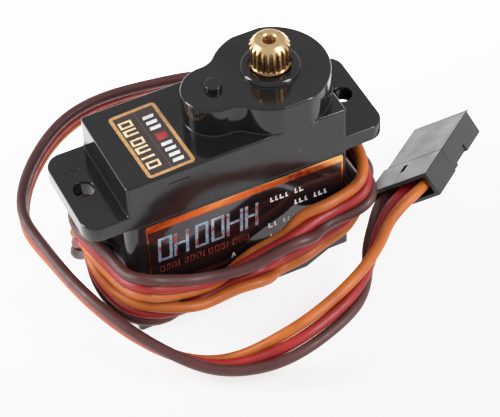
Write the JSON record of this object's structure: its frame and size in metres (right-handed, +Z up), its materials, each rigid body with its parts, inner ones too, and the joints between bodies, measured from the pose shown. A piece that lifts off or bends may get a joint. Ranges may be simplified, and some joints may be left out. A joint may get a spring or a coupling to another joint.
{
  "type": "servo motor",
  "caption": "Micro servo motor: black case with two mounting ears, brass splined output shaft, internal gear train, three-wire ribbon cable and plug.",
  "frame": {"origin": "centre of the box round everything but the cable and plug, at the underside of the case", "axes": "+X along the case and its ears towards the output shaft, +Y across the case away from the labelled side, +Z up along the output shaft"},
  "size_m": [0.0472, 0.0382, 0.0271],
  "materials": {
    "black_case": "moulded, glossy",
    "label_film": "printed film, glossy",
    "steel": "turned",
    "bronze": "sintered, matt",
    "brass": "cut and tumbled, bright",
    "nylon": "moulded",
    "magnet": "sintered ferrite",
    "copper": "bright copper",
    "laminations": "pressed sheet",
    "phenolic": "moulded",
    "board": "solder mask",
    "chip": "moulded epoxy",
    "ceramic": "fired",
    "rubber": "moulded",
    "orange_pvc": "soft extruded pvc",
    "red_pvc": "soft extruded pvc",
    "brown_pvc": "soft extruded pvc",
    "plug_black": "satin",
    "contact_metal": "tin plated"
  },
  "bodies": {
    "case": {"upper_case": "black_case", "middle_case": "black_case", "bottom_cover": "black_case", "case_screw_1": "steel", "case_screw_2": "steel", "case_screw_3": "steel", "case_screw_4": "steel", "deck_label": "label_film", "side_label": "label_film", "axle_pin": "steel", "output_bushing": "bronze", "motor_can": "steel", "motor_end_cap": "nylon", "motor_magnet_1": "magnet", "motor_magnet_2": "magnet", "motor_brush_1": "copper", "motor_brush_2": "copper", "potentiometer_body": "phenolic", "circuit_board": "board", "controller_chip": "chip", "driver_chip": "chip", "capacitor": "ceramic", "resonator": "steel", "cable_grommet": "rubber", "wire_orange": "orange_pvc", "wire_red": "red_pvc", "wire_brown": "brown_pvc", "plug_housing": "plug_black", "contact_brown": "contact_metal", "contact_red": "contact_metal", "contact_orange": "contact_metal"},
    "output": {"output_gear": "brass", "potentiometer_wiper": "steel"},
    "third_stage": {"third_gear": "steel"},
    "second_stage": {"second_gear": "brass"},
    "first_stage": {"first_gear": "brass"},
    "rotor": {"motor_shaft": "steel", "motor_armature": "laminations", "motor_commutator": "copper", "motor_pinion": "brass"}
  },
  "joints": [
    {"name": "output_turn", "type": "hinge", "parent": "case", "child": "output", "pos_m": [0.0062, 0, 0.0206], "axis": [0, 0, 1], "range_deg": [-90, 90]},
    {"name": "third_turn", "type": "hinge", "parent": "case", "child": "third_stage", "pos_m": [0.0002, 0, 0.0183], "axis": [0, 0, 1], "range_deg": [-211, 211]},
    {"name": "second_turn", "type": "hinge", "parent": "case", "child": "second_stage", "pos_m": [0.0062, 0, 0.0168], "axis": [0, 0, 1], "range_deg": [-491, 491]},
    {"name": "first_turn", "type": "hinge", "parent": "case", "child": "first_stage", "pos_m": [0.0002, 0, 0.0155], "axis": [0, 0, 1], "range_deg": [-1144.3, 1144.3]},
    {"name": "motor_turn", "type": "hinge", "parent": "case", "child": "rotor", "pos_m": [-0.0053, 0, 0.0155], "axis": [0, 0, 1], "range_deg": [-4447.3, 4447.3]}
  ],
  "couplings": [
    {"joint": "third_turn", "follows": "output_turn", "ratio": -2.3333},
    {"joint": "second_turn", "follows": "output_turn", "ratio": 5.4444},
    {"joint": "first_turn", "follows": "output_turn", "ratio": -12.704},
    {"joint": "motor_turn", "follows": "output_turn", "ratio": 49.403}
  ]
}
